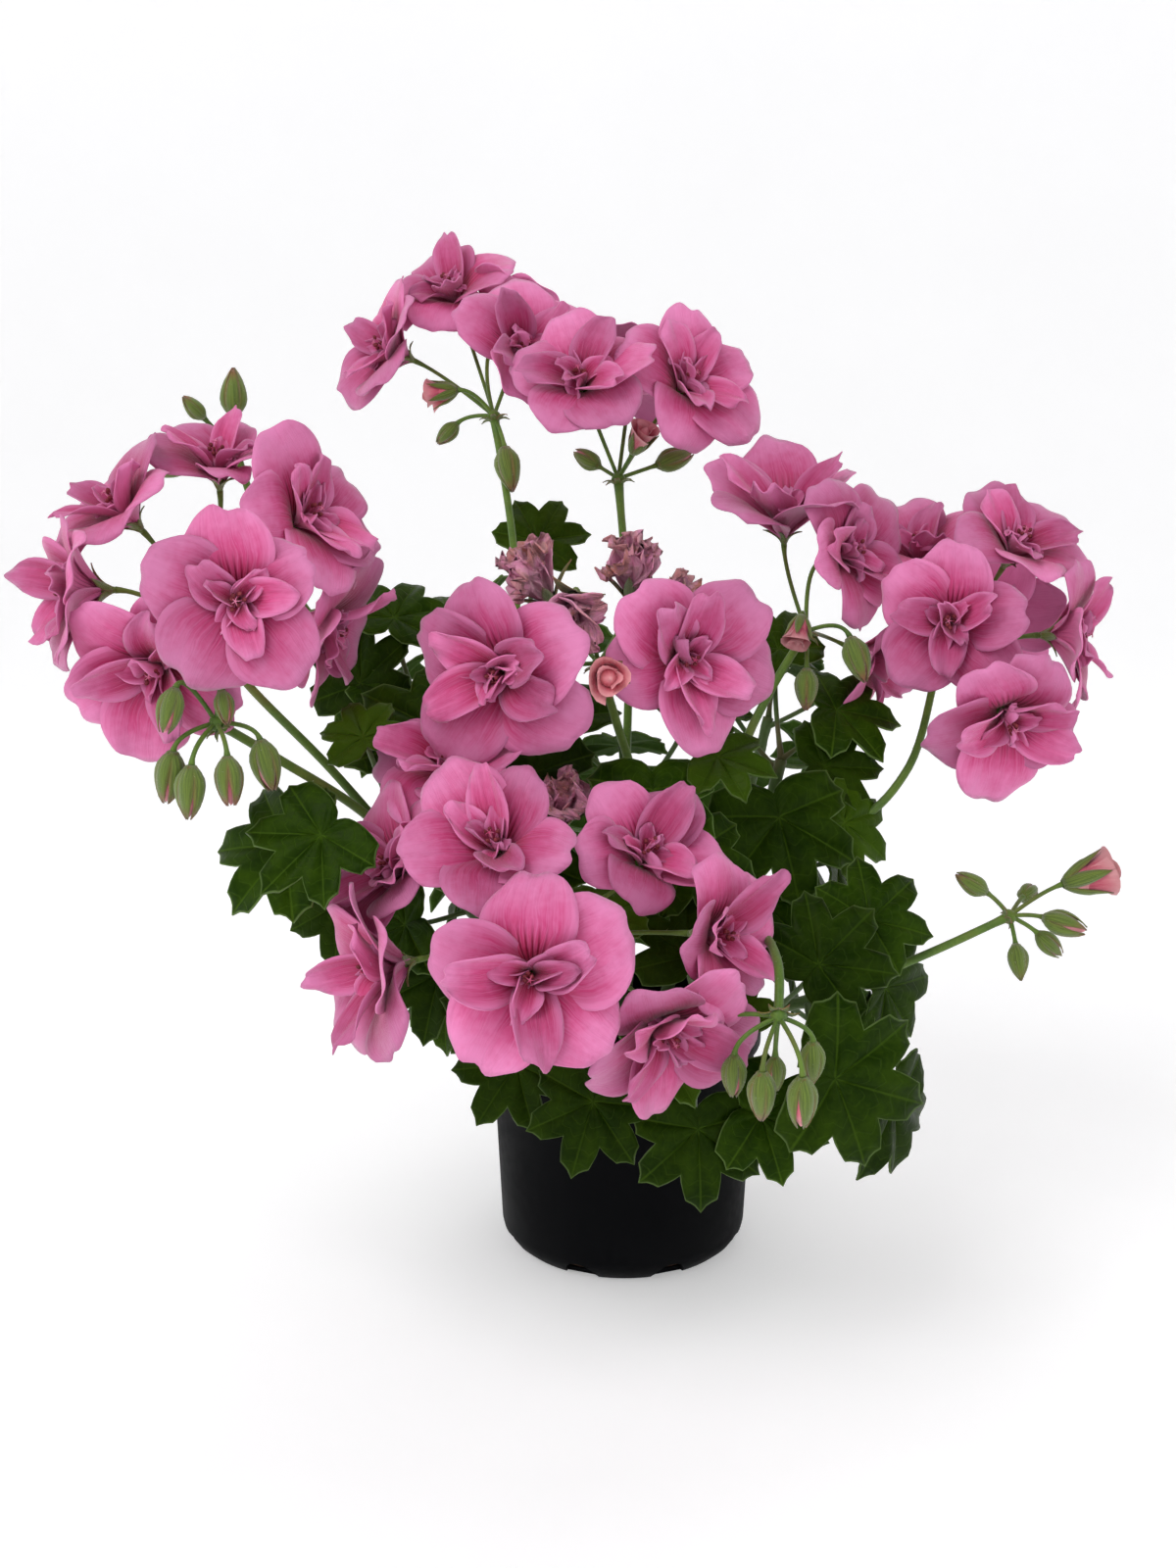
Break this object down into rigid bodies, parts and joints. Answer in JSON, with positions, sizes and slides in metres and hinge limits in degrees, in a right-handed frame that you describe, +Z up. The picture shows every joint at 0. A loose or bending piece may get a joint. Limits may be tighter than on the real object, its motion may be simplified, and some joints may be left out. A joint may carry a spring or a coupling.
{
  "type": "potted ivy geranium",
  "caption": "Bushy pink ivy geranium in a small black nursery pot, with lobed leaves, round semi-double flower heads, withered blooms and bud clusters.",
  "frame": {"origin": "middle of the pot's foot, on the surface that it stands on", "axes": "+Z up; -Y towards the side with the lowest and fullest flower head, which the picture shows; +X to the right of that view"},
  "size_m": [0.3758, 0.3068, 0.3829],
  "materials": {
    "pot": "matte black moulded plastic",
    "soil": "dark, damp potting soil with peat fibres",
    "leaf": "fleshy dark green with a soft sheen and a pale margin",
    "stalk": "light green with fine hairs",
    "petal": "satin pink, paler at the edge and deeper at the throat",
    "faded": "dull, dried mauve pink with brown tips"
  },
  "bodies": {
    "root": {"pot": "pot", "soil": "soil", "stalk_left": "stalk", "stalk_left_buds": "stalk", "stalk_low_left_buds": "stalk", "stalk_top_left": "stalk", "stalk_top": "stalk", "stalk_middle": "stalk", "stalk_right": "stalk", "stalk_far_right": "stalk", "stalk_right_buds": "stalk", "stalk_front": "stalk", "stalk_low_right_buds": "stalk", "bloom_left_1": "petal", "bloom_left_2": "petal", "bloom_left_3": "petal", "bloom_left_4": "petal", "bloom_left_5": "petal", "bloom_left_6": "petal", "bloom_left_7": "petal", "bloom_top_left_1": "petal", "bloom_top_left_2": "petal", "bloom_top_left_3": "petal", "bloom_top_left_4": "petal", "bloom_top_1": "petal", "bloom_top_2": "petal", "bloom_top_3": "petal", "bloom_middle_1": "petal", "bloom_middle_2": "petal", "bloom_right_1": "petal", "bloom_right_2": "petal", "bloom_right_3": "petal", "bloom_far_right_1": "petal", "bloom_far_right_2": "petal", "bloom_far_right_3": "petal", "bloom_far_right_4": "petal", "bloom_far_right_5": "petal", "bloom_far_right_6": "petal", "bloom_front_1": "petal", "bloom_front_2": "petal", "bloom_front_3": "petal", "bloom_front_4": "petal", "bloom_front_5": "petal", "bloom_front_6": "petal", "bloom_front_7": "petal", "bloom_front_8": "petal", "withered_middle_1": "faded", "withered_middle_2": "faded", "withered_middle_3": "faded", "withered_middle_4": "faded", "withered_front_1": "faded", "leafy_stem_left_front": "leaf", "leafy_stem_left_back": "leaf", "leafy_stem_front": "leaf", "leafy_stem_right_front": "leaf", "leafy_stem_middle": "leaf", "leafy_stem_right_back": "leaf", "leafy_stem_back_left": "leaf", "leafy_stem_back": "leaf", "leafy_stem_back_right": "leaf"}
  },
  "joints": []
}
